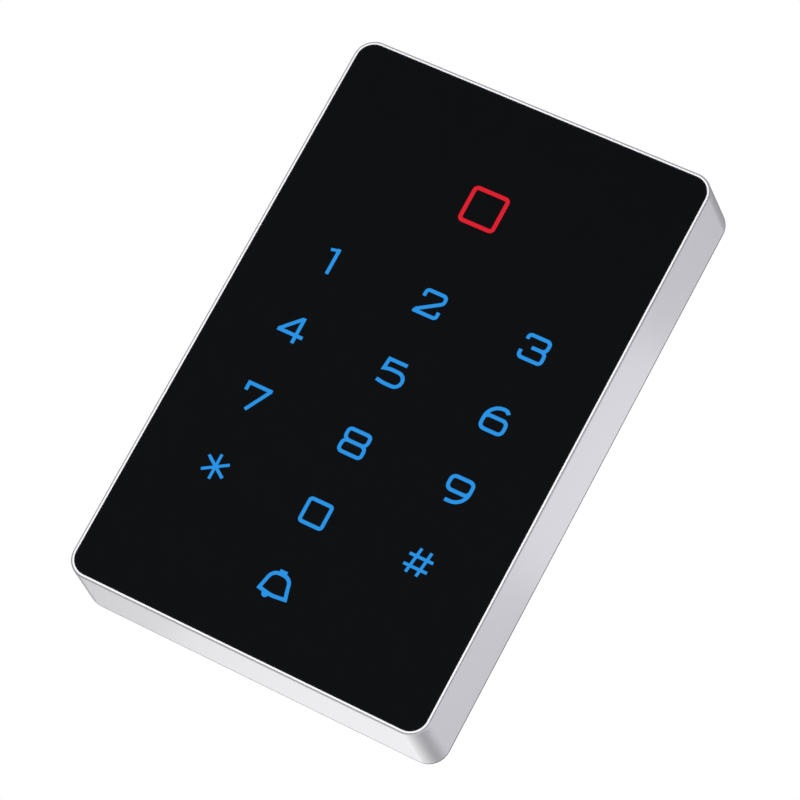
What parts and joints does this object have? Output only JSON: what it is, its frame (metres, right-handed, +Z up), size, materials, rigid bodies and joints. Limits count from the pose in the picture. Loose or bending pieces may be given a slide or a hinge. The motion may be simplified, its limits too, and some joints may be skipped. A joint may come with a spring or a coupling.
{
  "type": "keypad access reader",
  "caption": "Slim wall-mounted access reader: silver flared housing, black touch panel with lit keypad and status outline, lift-off steel wall plate.",
  "frame": {"origin": "centre of the wall plate's rear face, on the wall", "axes": "+Z up, +Y into the wall, -Y out of the front face, +X to the right seen from the front"},
  "size_m": [0.0776, 0.0172, 0.1196],
  "materials": {
    "silver_housing": "satin silver finish on die-cast metal",
    "black_panel": "flat black gloss sheet",
    "adhesive_film": "foam tape",
    "blue_light": "lit translucent plastic",
    "red_light": "lit translucent plastic",
    "sensor_film": "amber film",
    "white_frame": "matt white",
    "board_green": "solder mask",
    "led_body": "moulded white",
    "copper_trace": "bare copper",
    "chip_black": "moulded epoxy",
    "black_plastic": "moulded",
    "can_aluminium": "drawn can",
    "socket_plastic": "natural nylon",
    "rubber_black": "soft rubber",
    "seal_rubber": "soft black rubber lip",
    "spring_steel": "drawn wire",
    "grey_plastic": "fine spark texture",
    "screw_steel": "zinc plated",
    "steel_plate": "brushed stainless sheet"
  },
  "bodies": {
    "wall_plate": {"wall_plate": "steel_plate"},
    "reader": {"front_housing": "silver_housing", "touch_panel": "black_panel", "panel_adhesive": "adhesive_film", "legend_light_guide": "blue_light", "status_light_guide": "red_light", "touch_sensor_film": "sensor_film", "light_box_frame": "white_frame", "main_board": "board_green", "key_led_1": "led_body", "key_led_2": "led_body", "key_led_3": "led_body", "key_led_4": "led_body", "key_led_5": "led_body", "key_led_6": "led_body", "key_led_7": "led_body", "key_led_8": "led_body", "key_led_9": "led_body", "key_led_star": "led_body", "key_led_0": "led_body", "key_led_hash": "led_body", "key_led_bell": "led_body", "status_led": "led_body", "antenna_coil": "copper_trace", "microcontroller": "chip_black", "touch_controller": "chip_black", "rfid_chip": "chip_black", "voltage_regulator": "chip_black", "relay": "black_plastic", "buzzer": "black_plastic", "capacitor": "can_aluminium", "cable_socket": "socket_plastic", "socket_seal": "rubber_black", "tamper_switch": "black_plastic", "tamper_spring": "spring_steel", "board_screw_1": "screw_steel", "board_screw_2": "screw_steel", "board_screw_3": "screw_steel", "board_screw_4": "screw_steel", "rear_gasket": "rubber_black", "wall_seal": "seal_rubber", "rear_cover": "grey_plastic", "cover_screw_1": "screw_steel", "cover_screw_2": "screw_steel", "cover_screw_3": "screw_steel", "cover_screw_4": "screw_steel"},
    "tamper_plunger": {"tamper_plunger": "grey_plastic"}
  },
  "joints": [
    {"name": "reader_lift", "type": "slide", "parent": "wall_plate", "child": "reader", "axis": [0, 0, 1], "range_m": [0, 0.006]},
    {"name": "tamper_plunge", "type": "slide", "parent": "reader", "child": "tamper_plunger", "axis": [0, 1, 0], "range_m": [0, 0.00125], "stiffness_N_per_m": 20, "springref_m": 0.003, "deforming": ["tamper_spring"]}
  ],
  "couplings": [
    {"joint": "tamper_plunge", "follows": "reader_lift", "ratio": 0.2}
  ]
}
